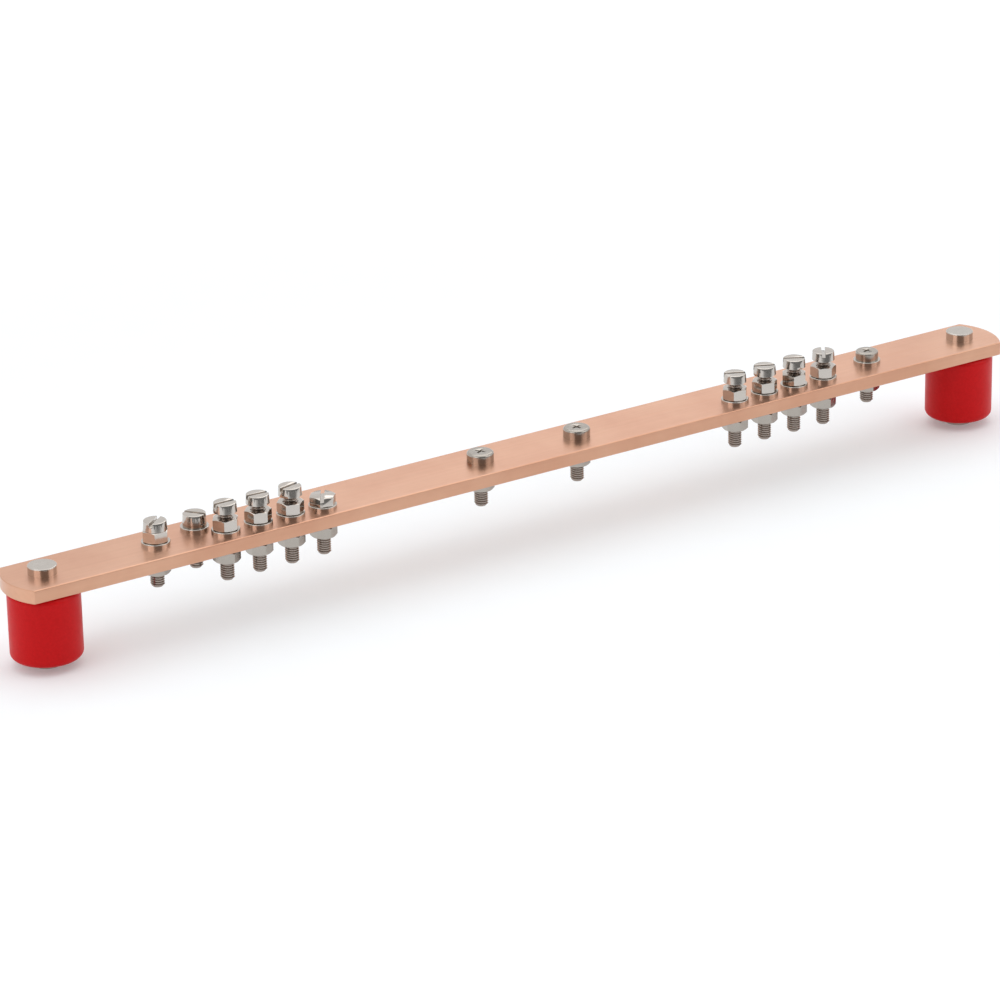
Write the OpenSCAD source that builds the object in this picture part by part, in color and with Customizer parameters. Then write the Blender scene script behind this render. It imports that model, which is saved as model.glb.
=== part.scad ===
// Rack grounding busbar.
// A flat copper bar stands on two moulded insulators, one under each end. Along
// the bar are thirteen M6 terminals, each a screw pushed down through the bar
// and held by a washer and a nut underneath. Seven of them are tall terminals:
// a clamp nut holds the screw upright, and a bare length of thread is left under
// the slotted head for a cable lug.
// All sizes are in millimetres. The origin is midway between the ends, on the
// surface that the part stands on: +X runs along the bar, +Y points to the back
// edge and +Z is up.

/* [Bar] */
// Distance between the two fixing holes, the hole pitch of a 19-inch rack
fixing_pitch = 465; // [380:1:800]
// From each fixing hole to the tip of the bar's rounded end
end_margin = 16.5; // [12:0.5:40]
// Width of the bar
bar_w = 30; // [25:0.5:50]
// Thickness of the bar
bar_t = 6; // [4:0.5:8]
// Radius of the arc that each end is cut to
end_arc_r = 25; // [20:0.5:60]
// Radius on the four long edges of the drawn bar
bar_edge_r = 0.6; // [0.2:0.1:1.5]
// Bevel on the edges of the cut ends
end_bevel = 0.3; // [0.1:0.1:0.8]
// Clearance between a screw and its hole in the bar, on the diameter
bar_hole_clear = 0.6; // [0.2:0.1:1]

/* [Terminal places] */
// From the left fixing hole to the first terminal
first_inset = 52; // [30:0.5:60]
// From the first terminal to the second
first_to_second = 21; // [14:0.5:30]
// How far the second terminal sits behind the centreline
second_offset = 5; // [0:0.5:6]
// Gap between the second terminal's washers and nuts and those of the left group
second_gap = 1.6; // [0.5:0.1:10]
// Spacing of the four terminals in the left group
left_pitch = 15.4; // [13:0.1:20]
// Distance between the two terminals at the middle of the bar
middle_pitch = 49; // [16:0.5:60]
// How far the middle pair sits from mid-length, towards the last terminal
middle_shift = 0.9; // [0:0.1:5]
// Spacing of the four terminals in the right group
right_pitch = 15.9; // [13:0.1:20]
// From the last terminal back to the right group
last_to_group = 28.2; // [14:0.1:40]
// From the last terminal to the right fixing hole
last_inset = 52; // [30:0.5:60]
// How far both groups sit in front of the centreline
group_offset = 5.5; // [4.5:0.5:6]

/* [Insulators] */
// Diameter of each insulator
insulator_d = 30; // [24:0.5:40]
// Height of each insulator
insulator_h = 30; // [28:0.5:60]
// Radius round the top and bottom edges of an insulator
insulator_edge_r = 2.5; // [0.5:0.1:4]
// Width across flats of the threaded inserts
insert_af = 12; // [10:0.5:14]
// Length of each threaded insert
insert_len = 12.5; // [12:0.5:13.5]
// Width of the locking groove round an insert
insert_groove_w = 3; // [1:0.5:4]
// Depth of the locking groove, measured from the flats
insert_groove_depth = 0.8; // [0.3:0.1:1.2]
// Gap that the moulding leaves round an insert
insert_gap = 0.05; // [0.02:0.01:0.1]

/* [Threads, washers and nuts] */
// Nominal diameter of every thread
thread_d = 6; // [5:0.1:7.2]
// Clearance between a screw and a nut or insert, on the diameter
thread_clear = 0.1; // [0.06:0.02:0.3]
// Bevel on the free end of every screw
tip_bevel = 0.9; // [0.3:0.1:1.2]
// Outer diameter of a washer
washer_d = 12; // [11.5:0.5:13]
// Thickness of a washer
washer_t = 1.6; // [0.8:0.1:2]
// Clearance between a screw and a washer, on the diameter
washer_clear = 0.4; // [0.2:0.1:1]
// Width across flats of a nut
nut_af = 10; // [9.5:0.1:11]
// Height of a nut
nut_h = 5; // [4:0.1:6.5]
// Outer diameter of the spring washer
spring_washer_d = 9.9; // [9.5:0.1:12]
// Thickness of the spring washer
spring_washer_t = 1.6; // [1:0.1:2]
// Width of the cut in the spring washer
spring_washer_cut = 0.8; // [0.4:0.1:1.5]

/* [Screw heads] */
// Diameter of a slotted cheese head
cheese_d = 10; // [9:0.1:11.5]
// Height of a slotted cheese head
cheese_h = 3.9; // [3:0.1:5]
// Width of a driving slot
slot_w = 1.6; // [1:0.1:2]
// Depth of a driving slot
slot_depth = 1.7; // [1:0.1:2]
// Width across flats of the slotted hexagon head
hex_head_af = 10; // [9.5:0.1:11]
// Height of the slotted hexagon head
hex_head_h = 4; // [3:0.1:5]
// Diameter of a cross-recessed pan head
pan_d = 11.6; // [10:0.1:12.5]
// Height of a cross-recessed pan head
pan_h = 4.4; // [3.5:0.1:5]
// Length of the cross recess, tip to tip
cross_len = 5; // [4:0.1:6]
// Depth of the cross recess
cross_depth = 2.2; // [1.5:0.1:2.6]
// Diameter of the flat round head on the bar and foot screws
flat_head_d = 12; // [10:0.1:13]
// Height of the flat round head on the bar and foot screws
flat_head_h = 3.7; // [2.5:0.1:5]

/* [Screw lengths] */
// Bare thread between head and clamp nut on the tall terminals
lug_gap = 2.7; // [0:0.1:5]
// Length of the screws in the tall terminals
tall_screw_len = 30; // [28:1:40]
// Length of the first screw
first_screw_len = 25; // [23:1:30]
// Length of the short screws: second, middle and last
short_screw_len = 20; // [18:1:30]
// Length of the slotted hexagon screw
hex_screw_len = 22; // [18:1:30]
// Length of thread that holds in an insert
engagement = 10; // [6:0.5:10.5]

/* [Hidden] */
$fn = 96;

copper = "#DEAD92";
steel = "#BDB8B2";
red = "#B81A1E";

// Levels, all measured up from the surface that the foot screws stand on
foot_z = flat_head_h;
bar_z = foot_z + insulator_h;
top_z = bar_z + bar_t;

// Places along the bar
bar_len = fixing_pitch + 2 * end_margin;
left_x = -fixing_pitch / 2;
right_x = fixing_pitch / 2;
first_x = left_x + first_inset;
second_x = first_x + first_to_second;
// The second terminal sits behind the left group's line, so what is left of the
// distance between their axes is the step along the bar
spread = max(washer_d, nut_af / cos(30)) + second_gap;
second_to_group = sqrt(max(1, pow(spread, 2) - pow(second_offset + group_offset, 2)));
left_xs = [for (i = [0:2]) second_x + second_to_group + i * left_pitch];
hexagon_x = second_x + second_to_group + 3 * left_pitch;
middle_xs = [for (i = [-0.5, 0.5]) middle_shift + i * middle_pitch];
last_x = right_x - last_inset;
right_xs = [for (i = [3:-1:0]) last_x - last_to_group - i * right_pitch];

// Every terminal as [x, y], for the row of holes in the bar
terminals = concat([[first_x, 0], [second_x, second_offset]],
    [for (x = left_xs) [x, -group_offset]], [[hexagon_x, -group_offset]],
    [for (x = middle_xs) [x, 0]],
    [for (x = right_xs) [x, -group_offset]], [[last_x, 0]]);

// Turn of each slot and of each nut about its own screw, as they were tightened
left_slots = [0, 176, 12];
right_slots = [152, 155, 150, 56];
left_nut_turns = [55, 42, 41];
right_nut_turns = [50, 42, 54, 34];
left_low_turns = [34, 29, 31];
right_low_turns = [20, 26, 24, 30];

// A solid of revolution with its top edge rounded: a disc of radius r and height h
module turned_disc(r, h, edge) {
    rotate_extrude() union() {
        square([r, h - edge]);
        square([r - edge, h]);
        intersection() {
            translate([r - edge, h - edge]) circle(r = edge);
            square([r, h]);
        }
    }
}

// A straight screw shank that hangs down from z = 0, with its free end bevelled
module shank(len) {
    rotate_extrude() polygon([[0, 0.01], [thread_d / 2, 0.01], [thread_d / 2, -len + tip_bevel],
        [thread_d / 2 - tip_bevel, -len], [0, -len]]);
}

// Body of revolution that trims the corners of a hexagon, bottom and top
module corner_trim(af, h, bottom) {
    rc = af / sqrt(3) + 0.2;
    rf = af / 2 * 0.95;
    drop = (rc - rf) * tan(30);
    rotate_extrude() polygon([[0, 0], [bottom ? rf : rc, 0], [rc, bottom ? drop : 0],
        [rc, h - drop], [rf, h], [0, h]]);
}

module hexagon(af, h) { cylinder(d = af / cos(30), h = h, $fn = 6); }

// Hexagon nut, standing on z = 0, with a countersunk bore
module nut() {
    bore = thread_d + thread_clear;
    sink = 0.4;
    difference() {
        intersection() {
            hexagon(nut_af, nut_h);
            corner_trim(nut_af, nut_h, true);
        }
        translate([0, 0, -1]) cylinder(d = bore, h = nut_h + 2);
        for (z = [0, nut_h]) translate([0, 0, z]) mirror([0, 0, z > 0 ? 1 : 0])
            translate([0, 0, -1]) cylinder(r1 = bore / 2 + sink + 1, r2 = bore / 2, h = sink + 1);
    }
}

// Plain washer, lying on z = 0, with its punched upper edge rounded
module washer() {
    difference() {
        turned_disc(washer_d / 2, washer_t, min(0.3, washer_t / 4));
        translate([0, 0, -1]) cylinder(d = thread_d + washer_clear, h = washer_t + 2);
    }
}

// Spring washer: a square-section ring cut through once, on the slant
module spring_washer() {
    difference() {
        cylinder(d = spring_washer_d, h = spring_washer_t);
        translate([0, 0, -1]) cylinder(d = thread_d + washer_clear, h = spring_washer_t + 2);
        translate([0, 0, spring_washer_t / 2]) rotate([0, -25, 0])
            translate([-spring_washer_cut / 2, -spring_washer_d, -2 * spring_washer_t])
                cube([spring_washer_cut, spring_washer_d, 4 * spring_washer_t]);
    }
}

// Screw with a slotted cheese head that stands on z = 0. The head tapers a little
// and its rim is rounded.
module cheese_screw(len, turn) {
    rim = 0.7;
    draft = 0.25;
    rotate([0, 0, turn]) difference() {
        union() {
            intersection() {
                turned_disc(cheese_d / 2, cheese_h, rim);
                cylinder(r1 = cheese_d / 2, r2 = cheese_d / 2 - draft, h = cheese_h);
            }
            shank(len);
        }
        translate([-cheese_d, -slot_w / 2, cheese_h - slot_depth]) cube([2 * cheese_d, slot_w, slot_depth + 1]);
    }
}

// Screw with a slotted hexagon head that stands on z = 0
module hex_slot_screw(len, turn, slot_turn) {
    difference() {
        union() {
            rotate([0, 0, turn]) intersection() {
                hexagon(hex_head_af, hex_head_h);
                corner_trim(hex_head_af, hex_head_h, false);
            }
            shank(len);
        }
        rotate([0, 0, slot_turn])
            translate([-hex_head_af, -slot_w / 2, hex_head_h - slot_depth]) cube([2 * hex_head_af, slot_w, slot_depth + 1]);
    }
}

// Cross recess cut down into a head from z = 0: two crossed wings inside a cone
module cross_recess() {
    wing = cross_len * 0.2;
    translate([0, 0, -cross_depth]) intersection() {
        union() for (a = [0, 90]) rotate([0, 0, a])
            translate([-cross_len, -wing / 2, 0]) cube([2 * cross_len, wing, cross_depth + 1]);
        cylinder(r1 = cross_len * 0.24, r2 = cross_len / 2 + (cross_len * 0.26) / cross_depth, h = cross_depth + 1);
    }
}

// Screw with a cross-recessed head that stands on z = 0
module cross_screw(d, h, rim, len, turn) {
    rotate([0, 0, turn]) difference() {
        union() {
            turned_disc(d / 2, h, rim);
            shank(len);
        }
        translate([0, 0, h]) cross_recess();
    }
}

// Screw with a plain flat head that stands on z = 0
module flat_screw(len) {
    union() {
        turned_disc(flat_head_d / 2, flat_head_h, 0.4);
        shank(len);
    }
}

// A rounded cylinder that both ends of an insulator share
module insulator_body() {
    r = insulator_d / 2;
    e = insulator_edge_r;
    rotate_extrude() union() {
        square([r - e, insulator_h]);
        translate([0, e]) square([r, insulator_h - 2 * e]);
        for (z = [e, insulator_h - e]) intersection() {
            translate([r - e, z]) circle(r = e);
            square([r, insulator_h]);
        }
    }
}

// Outline of an insert standing on z = 0, grown all round by gap: a hexagon with
// a turned locking groove half way along
module insert_outline(gap) {
    groove_r = insert_af / 2 - insert_groove_depth + gap;
    groove_h = insert_groove_w - 2 * gap;
    mid = insert_len / 2;
    difference() {
        translate([0, 0, 0]) hexagon(insert_af + 2 * gap, insert_len + gap);
        translate([0, 0, mid - groove_h / 2]) difference() {
            cylinder(d = 2 * insert_af, h = groove_h);
            translate([0, 0, -1]) cylinder(r = groove_r, h = groove_h + 2);
        }
    }
}

// Threaded insert with its open end on z = 0: a blind bore, countersunk at the mouth
module insert() {
    bore = thread_d + thread_clear;
    sink = 0.4;
    difference() {
        insert_outline(0);
        translate([0, 0, -1]) cylinder(d = bore, h = engagement + 0.6 + 1);
        translate([0, 0, -1]) cylinder(r1 = bore / 2 + sink + 1, r2 = bore / 2, h = sink + 1);
    }
}

// Insulator standing on z = 0, with a pocket for an insert in each end
module insulator() {
    color(red) difference() {
        insulator_body();
        insert_outline(insert_gap);
        translate([0, 0, insulator_h]) mirror([0, 0, 1]) insert_outline(insert_gap);
    }
}

module upper_insert(x) {
    color(steel) translate([x, 0, bar_z]) mirror([0, 0, 1]) insert();
}

module lower_insert(x) {
    color(steel) translate([x, 0, foot_z]) insert();
}

module bar_screw(x) {
    color(steel) translate([x, 0, top_z]) flat_screw(bar_t + engagement);
}

module foot_screw(x) {
    color(steel) translate([x, 0, foot_z]) mirror([0, 0, 1]) flat_screw(engagement);
}

// Copper bar: the drawn section, cut to arcs at both ends and drilled
module busbar() {
    e = bar_edge_r;
    reach = bar_len / 2 - end_arc_r;
    b = end_bevel;
    hole_d = thread_d + bar_hole_clear;
    burr = 0.2;
    color(copper) translate([0, 0, bar_z]) difference() {
        intersection() {
            translate([-bar_len / 2 - 1, 0, 0]) rotate([90, 0, 90]) linear_extrude(bar_len + 2) union() {
                translate([-bar_w / 2 + e, 0]) square([bar_w - 2 * e, bar_t]);
                translate([-bar_w / 2, e]) square([bar_w, bar_t - 2 * e]);
                for (y = [-bar_w / 2 + e, bar_w / 2 - e], z = [e, bar_t - e]) translate([y, z]) circle(r = e);
            }
            union() {
                translate([-reach, -bar_w, -5]) cube([2 * reach, 2 * bar_w, bar_t + 10]);
                for (x = [-reach, reach]) translate([x, 0, 0]) rotate_extrude($fn = 180)
                    polygon([[0, -2], [end_arc_r - b - 2, -2], [end_arc_r, b], [end_arc_r, bar_t - b],
                        [end_arc_r - b - 2, bar_t + 2], [0, bar_t + 2]]);
            }
        }
        for (p = concat(terminals, [[left_x, 0], [right_x, 0]])) translate([p[0], p[1], 0]) {
            translate([0, 0, -1]) cylinder(d = hole_d, h = bar_t + 2);
            translate([0, 0, -1]) cylinder(d1 = hole_d + 2 * (burr + 1), d2 = hole_d, h = burr + 1);
            translate([0, 0, bar_t - burr]) cylinder(d1 = hole_d, d2 = hole_d + 2 * (burr + 1), h = burr + 1);
        }
    }
}

// Washers and nuts at one terminal, by level
module upper_washer(x, y) { color(steel) translate([x, y, top_z]) washer(); }
module clamp_nut(x, y, turn) { color(steel) translate([x, y, top_z + washer_t]) rotate([0, 0, turn]) nut(); }
module lower_washer(x, y) { color(steel) translate([x, y, bar_z]) mirror([0, 0, 1]) washer(); }
module lower_nut(x, y, turn) { color(steel) translate([x, y, bar_z - washer_t - nut_h]) rotate([0, 0, turn]) nut(); }
module tall_screw(x, y, turn) {
    color(steel) translate([x, y, top_z + washer_t + nut_h + lug_gap]) cheese_screw(tall_screw_len, turn);
}

module left_insulator() { translate([left_x, 0, foot_z]) insulator(); }
module right_insulator() { translate([right_x, 0, foot_z]) insulator(); }

module first_screw() { color(steel) translate([first_x, 0, top_z + washer_t + nut_h]) cheese_screw(first_screw_len, 40); }
module second_screw() {
    color(steel) translate([second_x, second_offset, top_z + washer_t + spring_washer_t]) cheese_screw(short_screw_len, 128);
}
module second_spring_washer() {
    color(steel) translate([second_x, second_offset, top_z + washer_t]) rotate([0, 0, 150]) spring_washer();
}
module hexagon_screw() {
    color(steel) translate([hexagon_x, -group_offset, top_z + washer_t]) hex_slot_screw(hex_screw_len, 49, 57);
}
module middle_screws() {
    for (i = [0, 1]) color(steel) translate([middle_xs[i], 0, top_z]) cross_screw(pan_d, pan_h, 1.1, short_screw_len, [30, 12][i]);
}
module last_screw() {
    color(steel) translate([last_x, 0, top_z + washer_t]) cross_screw(cheese_d, cheese_h, 0.7, short_screw_len, 20);
}
module left_tall_screws() { for (i = [0:2]) tall_screw(left_xs[i], -group_offset, left_slots[i]); }
module left_clamp_nuts() { for (i = [0:2]) clamp_nut(left_xs[i], -group_offset, left_nut_turns[i]); }
module left_upper_washers() { for (x = left_xs) upper_washer(x, -group_offset); }
module left_lower_washers() { for (x = left_xs) lower_washer(x, -group_offset); }
module left_lower_nuts() { for (i = [0:2]) lower_nut(left_xs[i], -group_offset, left_low_turns[i]); }
module middle_lower_washers() { for (x = middle_xs) lower_washer(x, 0); }
module middle_lower_nuts() { for (i = [0, 1]) lower_nut(middle_xs[i], 0, [28, 22][i]); }
module right_tall_screws() { for (i = [0:3]) tall_screw(right_xs[i], -group_offset, right_slots[i]); }
module right_clamp_nuts() { for (i = [0:3]) clamp_nut(right_xs[i], -group_offset, right_nut_turns[i]); }
module right_upper_washers() { for (x = right_xs) upper_washer(x, -group_offset); }
module right_lower_washers() { for (x = right_xs) lower_washer(x, -group_offset); }
module right_lower_nuts() { for (i = [0:3]) lower_nut(right_xs[i], -group_offset, right_low_turns[i]); }

busbar();
left_insulator();
upper_insert(left_x);  // left_upper_insert
lower_insert(left_x);  // left_lower_insert
right_insulator();
upper_insert(right_x);  // right_upper_insert
lower_insert(right_x);  // right_lower_insert
bar_screw(left_x);  // left_bar_screw
foot_screw(left_x);  // left_foot_screw
bar_screw(right_x);  // right_bar_screw
foot_screw(right_x);  // right_foot_screw
first_screw();
clamp_nut(first_x, 0, 58);  // first_clamp_nut
upper_washer(first_x, 0);  // first_upper_washer
lower_washer(first_x, 0);  // first_lower_washer
lower_nut(first_x, 0, 32);  // first_lower_nut
second_screw();
second_spring_washer();
upper_washer(second_x, second_offset);  // second_upper_washer
lower_washer(second_x, second_offset);  // second_lower_washer
lower_nut(second_x, second_offset, 27);  // second_lower_nut
left_tall_screws();
left_clamp_nuts();
left_upper_washers();
left_lower_washers();
left_lower_nuts();
hexagon_screw();
upper_washer(hexagon_x, -group_offset);  // hexagon_upper_washer
lower_washer(hexagon_x, -group_offset);  // hexagon_lower_washer
lower_nut(hexagon_x, -group_offset, 33);  // hexagon_lower_nut
middle_screws();
middle_lower_washers();
middle_lower_nuts();
right_tall_screws();
right_clamp_nuts();
right_upper_washers();
right_lower_washers();
right_lower_nuts();
last_screw();
upper_washer(last_x, 0);  // last_upper_washer
lower_washer(last_x, 0);  // last_lower_washer
lower_nut(last_x, 0, 25);  // last_lower_nut
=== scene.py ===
import math
import bpy
import bmesh
from mathutils import Matrix, Vector


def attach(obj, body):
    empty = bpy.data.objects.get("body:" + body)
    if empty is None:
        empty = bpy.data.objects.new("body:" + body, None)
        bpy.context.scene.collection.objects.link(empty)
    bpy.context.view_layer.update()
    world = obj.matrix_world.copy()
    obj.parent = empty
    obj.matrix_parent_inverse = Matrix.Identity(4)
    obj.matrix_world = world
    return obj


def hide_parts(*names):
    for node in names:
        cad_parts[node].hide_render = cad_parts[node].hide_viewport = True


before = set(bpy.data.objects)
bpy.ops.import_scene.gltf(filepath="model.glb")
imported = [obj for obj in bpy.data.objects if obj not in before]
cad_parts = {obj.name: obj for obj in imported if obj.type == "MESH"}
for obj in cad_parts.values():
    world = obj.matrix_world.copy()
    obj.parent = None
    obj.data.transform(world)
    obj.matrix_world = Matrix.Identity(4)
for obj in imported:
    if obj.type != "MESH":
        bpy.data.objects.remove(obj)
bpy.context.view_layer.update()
scene = bpy.context.scene
MM = 0.001


# ---------------------------------------------------------------- small helpers

def tint(hex_code):
    """An sRGB hex colour as the linear values that a shader takes."""
    linear = []
    for i in (0, 2, 4):
        c = int(hex_code[i:i + 2], 16) / 255
        linear.append(c / 12.92 if c <= 0.04045 else ((c + 0.055) / 1.055) ** 2.4)
    return (*linear, 1.0)


def per_metre(size):
    """The scale of a pattern whose marks have this size, in millimetres."""
    return 1 / (size * MM)


def empty_tree(owner):
    """Turns on the nodes of a material or of the world, and clears them."""
    owner.use_nodes = True
    owner.node_tree.nodes.clear()
    return owner.node_tree


def add(tree, kind, settings=None, **inputs):
    """Adds a node. Settings are its properties. Inputs are named for its sockets, with _
    for a space, or are i and a socket's number: a Mix node takes its two colours at i6
    and i7, and gives their mix at output 2. Each input is a value, a socket to link, or
    a node whose first output is linked."""
    made = tree.nodes.new(kind)
    for name, value in (settings or {}).items():
        setattr(made, name, value)
    for name, value in inputs.items():
        numbered = name[0] == "i" and name[1:].isdigit()
        socket = made.inputs[int(name[1:]) if numbered else name.replace("_", " ")]
        if isinstance(value, bpy.types.Node):
            value = value.outputs[0]
        if isinstance(value, bpy.types.NodeSocket):
            tree.links.new(value, socket)
        else:
            socket.default_value = value
    return made


MIX = {"data_type": "RGBA"}
MULTIPLY = {"data_type": "RGBA", "blend_type": "MULTIPLY"}
SMOOTH = {"interpolation_type": "SMOOTHSTEP"}
WHITE = tint("FFFFFF")


# -------------------------------------------------------------------- materials

def drawn_copper():
    """Copper bar, drawn through a die and dipped in clear lacquer: a satin metal, with die
    lines along its length that spread a reflection across the bar and a faint uneven
    bloom, under a thin glassy film that keeps low reflections crisp and pale."""
    made = bpy.data.materials.new("drawn copper under clear lacquer")
    t = empty_tree(made)
    place = add(t, "ShaderNodeTexCoord").outputs["Object"]
    # die lines, 0.2 mm wide and some 60 mm long
    along = add(t, "ShaderNodeMapping", Vector=place,
                Scale=(per_metre(62.5), per_metre(0.2), per_metre(0.2)))
    die = add(t, "ShaderNodeTexNoise", Vector=along, Scale=1.0, Detail=2.0, Roughness=0.5)
    # streaks 1.4 mm wide, the coarsest that the die leaves
    broad = add(t, "ShaderNodeMapping", Vector=place,
                Scale=(per_metre(111), per_metre(1.43), per_metre(1.43)))
    streak = add(t, "ShaderNodeTexNoise", Vector=broad, Scale=1.0, Detail=3.0, Roughness=0.6)
    streaked = add(t, "ShaderNodeMapRange", Value=streak, From_Min=0.3, From_Max=0.7,
                   To_Min=0.95, To_Max=1.0)
    # bloom in patches 36 mm long, where the lacquer lies thicker or thinner
    bloom = add(t, "ShaderNodeTexNoise", Vector=place, Scale=per_metre(35.7), Detail=4.0,
                Roughness=0.6)
    patch = add(t, "ShaderNodeMapRange", Value=bloom, From_Min=0.35, From_Max=0.7)
    tone = add(t, "ShaderNodeMix", MIX, Factor=patch, i6=tint("D6A083"), i7=tint("DFAD90"))
    colour = add(t, "ShaderNodeMix", MULTIPLY, Factor=1.0, i6=tone.outputs[2], i7=streaked)
    gloss = add(t, "ShaderNodeMapRange", Value=die, From_Min=0.3, From_Max=0.7,
                To_Min=0.28, To_Max=0.38)
    relief = add(t, "ShaderNodeBump", Height=die, Strength=0.10, Distance=0.02 * MM)
    shader = add(t, "ShaderNodeBsdfPrincipled", Base_Color=colour.outputs[2], Metallic=1.0,
                 Roughness=gloss, Normal=relief, Coat_Weight=0.3, Coat_Roughness=0.12)
    add(t, "ShaderNodeOutputMaterial", Surface=shader)
    return made


def bright_steel(name, hex_code, sharpest, softest):
    """Stainless steel, turned, pressed or rolled and left bright: sharp reflections that
    fine tool marks break up, and a roughness that wanders between the two given."""
    made = bpy.data.materials.new(name)
    t = empty_tree(made)
    place = add(t, "ShaderNodeTexCoord").outputs["Object"]
    # tool marks 0.15 mm high and 1.7 mm long, level, as a lathe or a die leaves them
    level = add(t, "ShaderNodeMapping", Vector=place,
                Scale=(per_metre(1.667), per_metre(1.667), per_metre(0.154)))
    marks = add(t, "ShaderNodeTexNoise", Vector=level, Scale=1.0, Detail=2.0, Roughness=0.5)
    # smears 2.4 mm across, from oil and handling
    smear = add(t, "ShaderNodeTexNoise", Vector=place, Scale=per_metre(2.38), Detail=3.0,
                Roughness=0.55)
    gloss = add(t, "ShaderNodeMapRange", Value=smear, From_Min=0.3, From_Max=0.7,
                To_Min=sharpest, To_Max=softest)
    dulled = add(t, "ShaderNodeMapRange", Value=smear, From_Min=0.3, From_Max=0.7,
                 To_Min=0.93, To_Max=1.0)
    colour = add(t, "ShaderNodeMix", MULTIPLY, Factor=1.0, i6=tint(hex_code), i7=dulled)
    relief = add(t, "ShaderNodeBump", Height=marks, Strength=0.12, Distance=0.02 * MM)
    shader = add(t, "ShaderNodeBsdfPrincipled", Base_Color=colour.outputs[2], Metallic=1.0,
                 Roughness=gloss, Normal=relief)
    add(t, "ShaderNodeOutputMaterial", Surface=shader)
    return made


def red_moulding():
    """Glass-filled polyester, compression moulded: an even red with a soft gloss, and the
    faint mottle that the glass fibres and the flow of the dough leave under the skin."""
    made = bpy.data.materials.new("red polyester moulding")
    t = empty_tree(made)
    place = add(t, "ShaderNodeTexCoord").outputs["Object"]
    # bundles of fibre 1.1 mm across
    fibre = add(t, "ShaderNodeTexNoise", Vector=place, Scale=per_metre(1.111), Detail=3.0,
                Roughness=0.6)
    mottle = add(t, "ShaderNodeMapRange", Value=fibre, From_Min=0.35, From_Max=0.68)
    colour = add(t, "ShaderNodeMix", MIX, Factor=mottle, i6=tint("C8080D"), i7=tint("D10D12"))
    # swirls of the flow 9 mm across
    flow = add(t, "ShaderNodeTexNoise", Vector=place, Scale=per_metre(9.09), Detail=3.0,
               Roughness=0.5)
    gloss = add(t, "ShaderNodeMapRange", Value=flow, From_Min=0.3, From_Max=0.7,
                To_Min=0.34, To_Max=0.46)
    relief = add(t, "ShaderNodeBump", Height=fibre, Strength=0.25, Distance=0.03 * MM)
    shader = add(t, "ShaderNodeBsdfPrincipled", Base_Color=colour.outputs[2], IOR=1.54,
                 Specular_IOR_Level=0.15, Roughness=gloss, Normal=relief)
    add(t, "ShaderNodeOutputMaterial", Surface=shader)
    return made


COPPER = drawn_copper()
# turned heads, clamp nuts and upper washers: the palest and sharpest of the steels
STEEL = bright_steel("bright stainless steel", "C9C2BB", 0.10, 0.18)
# nuts and washers under the bar, and cross-recessed heads: a little greyer and softer
PRESSED = bright_steel("pressed stainless steel", "B2ABA3", 0.16, 0.26)
# rolled threads: darker, and burnished by the rolls to a soft gleam
ROLLED = bright_steel("rolled thread steel", "A89D95", 0.18, 0.28)
RED = red_moulding()


def finish_of(node):
    """The finish of a CAD node, by its name."""
    if node == "busbar":
        return COPPER
    if node.endswith("_insulator"):
        return RED
    if "_lower_" in node or node.endswith("_spring_washer"):
        return PRESSED
    return STEEL


for name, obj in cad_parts.items():
    obj.data.materials.clear()
    obj.data.materials.append(finish_of(name))


# ------------------------------------------------------------ screws with threads

PITCH = 1.0 * MM          # coarse thread of an M6 screw
CREST = 2.96 * MM         # radius over the crests
ROOT = 2.39 * MM          # radius at the root
# the corners of one turn, each a radius and a drop in pitches: root flat, flank, crest flat
PROFILE = ((ROOT, 0.0), (ROOT, 0.25), (CREST, 0.5625), (CREST, 0.6875))
SIDES = 30                # flats to a turn
SPARE = 3                 # turns swept beyond the length, which the cuts take off
TIP = 0.9 * MM            # bevel on the free end
PLAIN = 0.2 * MM          # length at the top with no groove yet
RUN_OUT = 0.7             # how fast the groove deepens from there on, depth to length

STUB = 0.8 * MM           # plain shank left under the head
TUCK = 0.3 * MM           # how far the thread reaches up into the stub
EASE = 0.09 * MM          # bevel that takes the edge off a head
SEAT = 0.2 * MM           # the edges this near the seat stay sharp
LEVEL = math.radians(0.6)     # faces that lie flatter than this are one face
CORNER = math.radians(35)     # edges that turn more than this are eased
CREASE = math.radians(28)     # edges that turn more than this are shaded sharp

SAME_CORNER = 0.002 * MM      # corners of the CAD's loose triangles this close are one
SAME_TURN = 0.0001 * MM       # corners of two turns of thread this close are one
ON_CUT = 0.00001 * MM         # a corner this close to a cut isn't cut off
BY_CUT = 0.001 * MM           # an open edge this close to a cut is its rim


def cut_away(bm, height, side):
    """Clears what lies above (side 1) or below (side -1) a height, and closes the cut."""
    bmesh.ops.bisect_plane(bm, geom=bm.verts[:] + bm.edges[:] + bm.faces[:], dist=ON_CUT,
                           plane_co=(0, 0, height), plane_no=(0, 0, side), clear_outer=True)
    rim = [e for e in bm.edges if e.is_boundary
           and all(abs(v.co.z - height) < BY_CUT for v in e.verts)]
    bmesh.ops.holes_fill(bm, edges=rim, sides=0)


def add_to(bm, part):
    """Moves the geometry of one bmesh into another."""
    holder = bpy.data.meshes.new("holder")
    part.to_mesh(holder)
    part.free()
    bm.from_mesh(holder)
    bpy.data.meshes.remove(holder)


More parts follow.
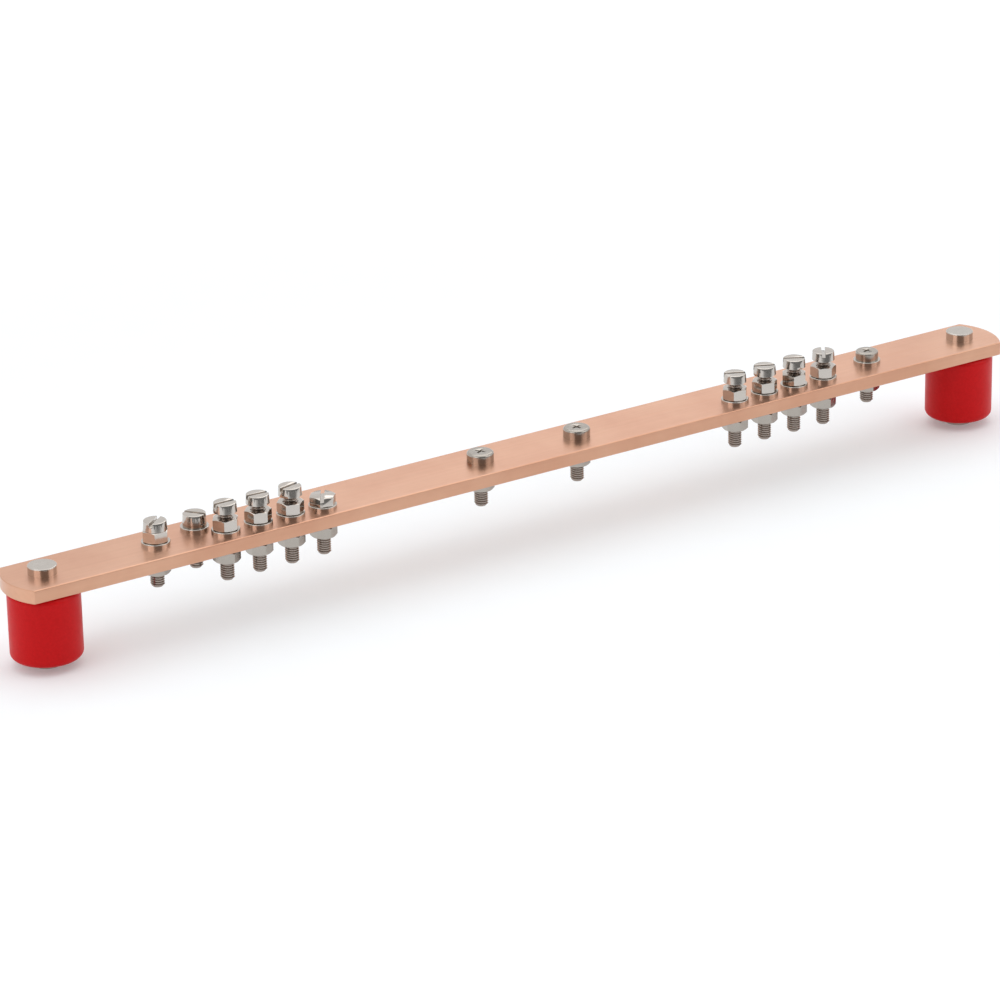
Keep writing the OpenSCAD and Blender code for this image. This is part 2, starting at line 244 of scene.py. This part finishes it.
def thread(bm, x, y, top, bottom):
    """A closed M6 thread from top down to bottom: one section, swept round and down."""
    part = bmesh.new()
    turns = int((top - bottom) / PITCH) + SPARE
    line = [part.verts.new((radius, 0, top - (turn - 1 + drop) * PITCH))
            for turn in range(turns) for radius, drop in PROFILE]
    edges = [part.edges.new(pair) for pair in zip(line, line[1:])]
    bmesh.ops.spin(part, geom=line + edges, cent=(0, 0, 0), axis=(0, 0, 1),
                   dvec=(0, 0, -PITCH / SIDES), angle=2 * math.pi, steps=SIDES,
                   use_merge=False)
    bmesh.ops.remove_doubles(part, verts=part.verts, dist=SAME_TURN)
    cut_away(part, top, 1)
    cut_away(part, bottom, -1)
    for v in part.verts:
        radius = v.co.xy.length
        least = CREST - max(0, top - v.co.z - PLAIN) * RUN_OUT
        most = CREST - TIP + (v.co.z - bottom)
        v.co.xy *= min(max(radius, least), most) / radius
    bmesh.ops.recalc_face_normals(part, faces=part.faces)
    bmesh.ops.translate(part, verts=part.verts, vec=(x, y, 0))
    for face in part.faces:
        face.material_index = 1
    add_to(bm, part)


def solids(bm):
    """The corners of each separate solid in a mesh, found by going from face to face."""
    met = set()
    for first in bm.faces:
        if first in met:
            continue
        met.add(first)
        group = [first]
        for face in group:
            fresh = {other for edge in face.edges for other in edge.link_faces} - met
            met |= fresh
            group.extend(fresh)
        yield {v for face in group for v in face.verts}


def screw_head(whole, members, under):
    """One screw of a node, cut off a stub's length under its head, with its edges eased."""
    head = whole.copy()
    head.verts.index_update()
    rest = [v for v in head.verts if v.index not in members]
    bmesh.ops.delete(head, geom=rest, context="VERTS")
    cut_away(head, under - STUB, -1)
    bmesh.ops.dissolve_limit(head, angle_limit=LEVEL, verts=head.verts, edges=head.edges)
    sharp = [e for e in head.edges if e.calc_face_angle(0) > CORNER
             and min(v.co.z for v in e.verts) > under + SEAT]
    bmesh.ops.bevel(head, geom=sharp, offset=EASE, offset_type="OFFSET", affect="EDGES",
                    segments=2, profile=0.5, material=-1, clamp_overlap=True)
    bmesh.ops.recalc_face_normals(head, faces=head.faces)
    return head


def add_object(name, bm, *finishes):
    """Makes a bmesh an object of the scene, with its finishes."""
    mesh = bpy.data.meshes.new(name)
    bm.to_mesh(mesh)
    bm.free()
    for finish in finishes:
        mesh.materials.append(finish)
    made = bpy.data.objects.new(name, mesh)
    scene.collection.objects.link(made)
    return made


def threaded_screws(node, head_height, finish):
    """Stands for a node of screws: the same heads on real threads."""
    whole = bmesh.new()
    whole.from_mesh(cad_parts[node].data)
    bmesh.ops.remove_doubles(whole, verts=whole.verts, dist=SAME_CORNER)
    whole.verts.index_update()
    screws = bmesh.new()
    for corners in solids(whole):
        low, high = ([pick(v.co[k] for v in corners) for k in range(3)] for pick in (min, max))
        under = high[2] - head_height
        add_to(screws, screw_head(whole, {v.index for v in corners}, under))
        thread(screws, (low[0] + high[0]) / 2, (low[1] + high[1]) / 2,
               under - STUB + TUCK, low[2])
    whole.free()
    piece = add_object(node + "_threaded", screws, finish, ROLLED)
    piece.data.shade_smooth()
    piece.data.set_sharp_from_angle(angle=CREASE)
    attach(piece, "root")
    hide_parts(node)


# heights of the heads over their seats
CHEESE, HEX, PAN = 3.9 * MM, 4.0 * MM, 4.4 * MM
for node, head_height, finish in (
        ("first_screw", CHEESE, STEEL), ("second_screw", CHEESE, STEEL),
        ("left_tall_screws", CHEESE, STEEL), ("hexagon_screw", HEX, STEEL),
        ("middle_screws", PAN, PRESSED), ("right_tall_screws", CHEESE, STEEL),
        ("last_screw", CHEESE, PRESSED)):
    threaded_screws(node, head_height, finish)


# ------------------------------------------------------------- floor and lighting

def paper_sweep():
    """Pale paper floor. It shows white to the eye and in the metal, more so far off where
    the lamps don't reach, and it keeps the shadow. From some 140 mm in front of the bar on,
    the paper is painted darker to reflections alone: a painted dark reflection, which draws
    dark bands on the sides of the tall screw heads."""
    made = bpy.data.materials.new("white paper sweep")
    t = empty_tree(made)
    place = add(t, "ShaderNodeTexCoord").outputs["Object"]
    path = add(t, "ShaderNodeLightPath").outputs
    # faint clouding of the paper, 17 mm across
    grain = add(t, "ShaderNodeTexNoise", Vector=place, Scale=per_metre(16.67), Detail=3.0)
    cloud = add(t, "ShaderNodeMapRange", Value=grain, From_Min=0.3, From_Max=0.7)
    tone = add(t, "ShaderNodeMix", MIX, Factor=cloud, i6=tint("E4E7E9"), i7=tint("E5E8EB"))
    # painted reflection shade: to reflections alone, the paper is darkened by how far in front
    # of the bar it is, and left is the share that stays
    ahead = add(t, "ShaderNodeSeparateXYZ", Vector=place).outputs["Y"]
    painted_reflection_ramp = add(t, "ShaderNodeMapRange", SMOOTH, Value=ahead, From_Min=-0.18, From_Max=-0.14,
               To_Min=0.80, To_Max=0.0)
    painted_reflection_shade = add(t, "ShaderNodeMath", {"operation": "MULTIPLY"}, i0=painted_reflection_ramp,
               i1=path["Is Glossy Ray"])
    left = add(t, "ShaderNodeMath", {"operation": "SUBTRACT"}, i0=1.0, i1=painted_reflection_shade)
    part = add(t, "ShaderNodeMix", MULTIPLY, Factor=1.0, i6=tone.outputs[2], i7=left)
    paper = add(t, "ShaderNodeBsdfDiffuse", Color=part.outputs[2])
    # the white that is added, to the eye and to reflections alone, by distance
    seen = add(t, "ShaderNodeMath", {"operation": "ADD"}, i0=path["Is Camera Ray"],
               i1=path["Is Glossy Ray"])
    seen = add(t, "ShaderNodeMath", {"operation": "ADD", "use_clamp": True}, i0=seen,
               i1=path["Is Transmission Ray"])
    away = add(t, "ShaderNodeVectorMath", {"operation": "LENGTH"}, i0=place).outputs["Value"]
    lift = add(t, "ShaderNodeMapRange", SMOOTH, Value=away, From_Min=0.3, From_Max=1.3,
               To_Min=0.18, To_Max=0.60)
    level = add(t, "ShaderNodeMath", {"operation": "MULTIPLY"}, i0=seen, i1=lift)
    # in reflections the painted reflection shade takes the same share off this white
    level = add(t, "ShaderNodeMath", {"operation": "MULTIPLY"}, i0=level, i1=left)
    glow = add(t, "ShaderNodeEmission", Color=WHITE, Strength=level)
    both = add(t, "ShaderNodeAddShader", i0=paper, i1=glow)
    add(t, "ShaderNodeOutputMaterial", Surface=both)
    return made


# the paper runs 4 m out on every side, far past what the camera sees
sheet = bmesh.new()
bmesh.ops.create_grid(sheet, x_segments=2, y_segments=2, size=4.0)
add_object("floor", sheet, paper_sweep())


def softbox(name, place, aim, width, height, power):
    """A soft lamp at a place, turned to face a point, in metres and watts."""
    lamp = bpy.data.lights.new(name, "AREA")
    lamp.shape = "RECTANGLE"
    lamp.size, lamp.size_y = width, height
    lamp.energy = power
    obj = bpy.data.objects.new(name, lamp)
    obj.location = place
    obj.rotation_euler = (Vector(aim) - Vector(place)).to_track_quat("-Z", "Y").to_euler()
    scene.collection.objects.link(obj)


softbox("overhead softbox", (0.05, 0.0, 1.2), (0, 0, 0), 1.8, 1.3, power=4.6)
softbox("rear softbox", (1.0, 1.0, 1.15), (0.15, 0, 0), 0.9, 0.5, power=1.6)
softbox("left softbox", (-1.0, -0.30, 0.50), (-0.2, 0, 0.02), 0.8, 0.55, power=2.1)
softbox("right softbox", (0.75, -0.95, 0.60), (0.25, 0, 0.02), 1.1, 0.7, power=2.6)


def studio_walls():
    """The walls round the studio: pale behind and beside the object and dim on the
    camera's side, which gives polished metal its dark reflections."""
    made = bpy.data.worlds.new("studio walls")
    t = empty_tree(made)
    way = add(t, "ShaderNodeTexCoord").outputs["Generated"]
    dim_side = (-0.353, -0.935, 0.0)      # 12 degrees to the right of the camera
    facing = add(t, "ShaderNodeVectorMath", {"operation": "DOT_PRODUCT"}, i0=way, i1=dim_side)
    wall = add(t, "ShaderNodeMapRange", SMOOTH, Value=facing.outputs["Value"],
               From_Min=0.0, From_Max=0.75, To_Min=0.90, To_Max=0.28)
    light = add(t, "ShaderNodeBackground", Color=WHITE, Strength=wall)
    add(t, "ShaderNodeOutputWorld", Surface=light)
    return made


scene.world = studio_walls()


# ----------------------------------------------------------------------- camera

def aim_camera(azimuth, elevation, roll, place, focal):
    """Azimuth 0 looks along +Y; the roll turns the picture. Angles are in degrees, the
    place in metres, and the focal length in millimetres for a sensor 36 mm wide."""
    a, e, r = (math.radians(v) for v in (azimuth, elevation, roll))
    back = Vector((math.sin(a) * math.cos(e), -math.cos(a) * math.cos(e), math.sin(e)))
    right = Vector((math.cos(a), math.sin(a), 0))
    up = back.cross(right)
    right, up = right * math.cos(r) + up * math.sin(r), up * math.cos(r) - right * math.sin(r)
    lens = bpy.data.cameras.new("camera")
    lens.sensor_width = 36
    lens.lens = focal
    lens.clip_start, lens.clip_end = 0.1, 20      # takes in the paper's far corners
    obj = bpy.data.objects.new("camera", lens)
    obj.matrix_world = Matrix((
        (right.x, up.x, back.x, place[0]),
        (right.y, up.y, back.y, place[1]),
        (right.z, up.z, back.z, place[2]),
        (0, 0, 0, 1)))
    scene.collection.objects.link(obj)
    scene.camera = obj


aim_camera(azimuth=-32.670, elevation=22.118, roll=-1.0735,
           place=(-1.03233, -1.58782, 0.78616), focal=172.48)

scene.view_settings.view_transform = "Standard"
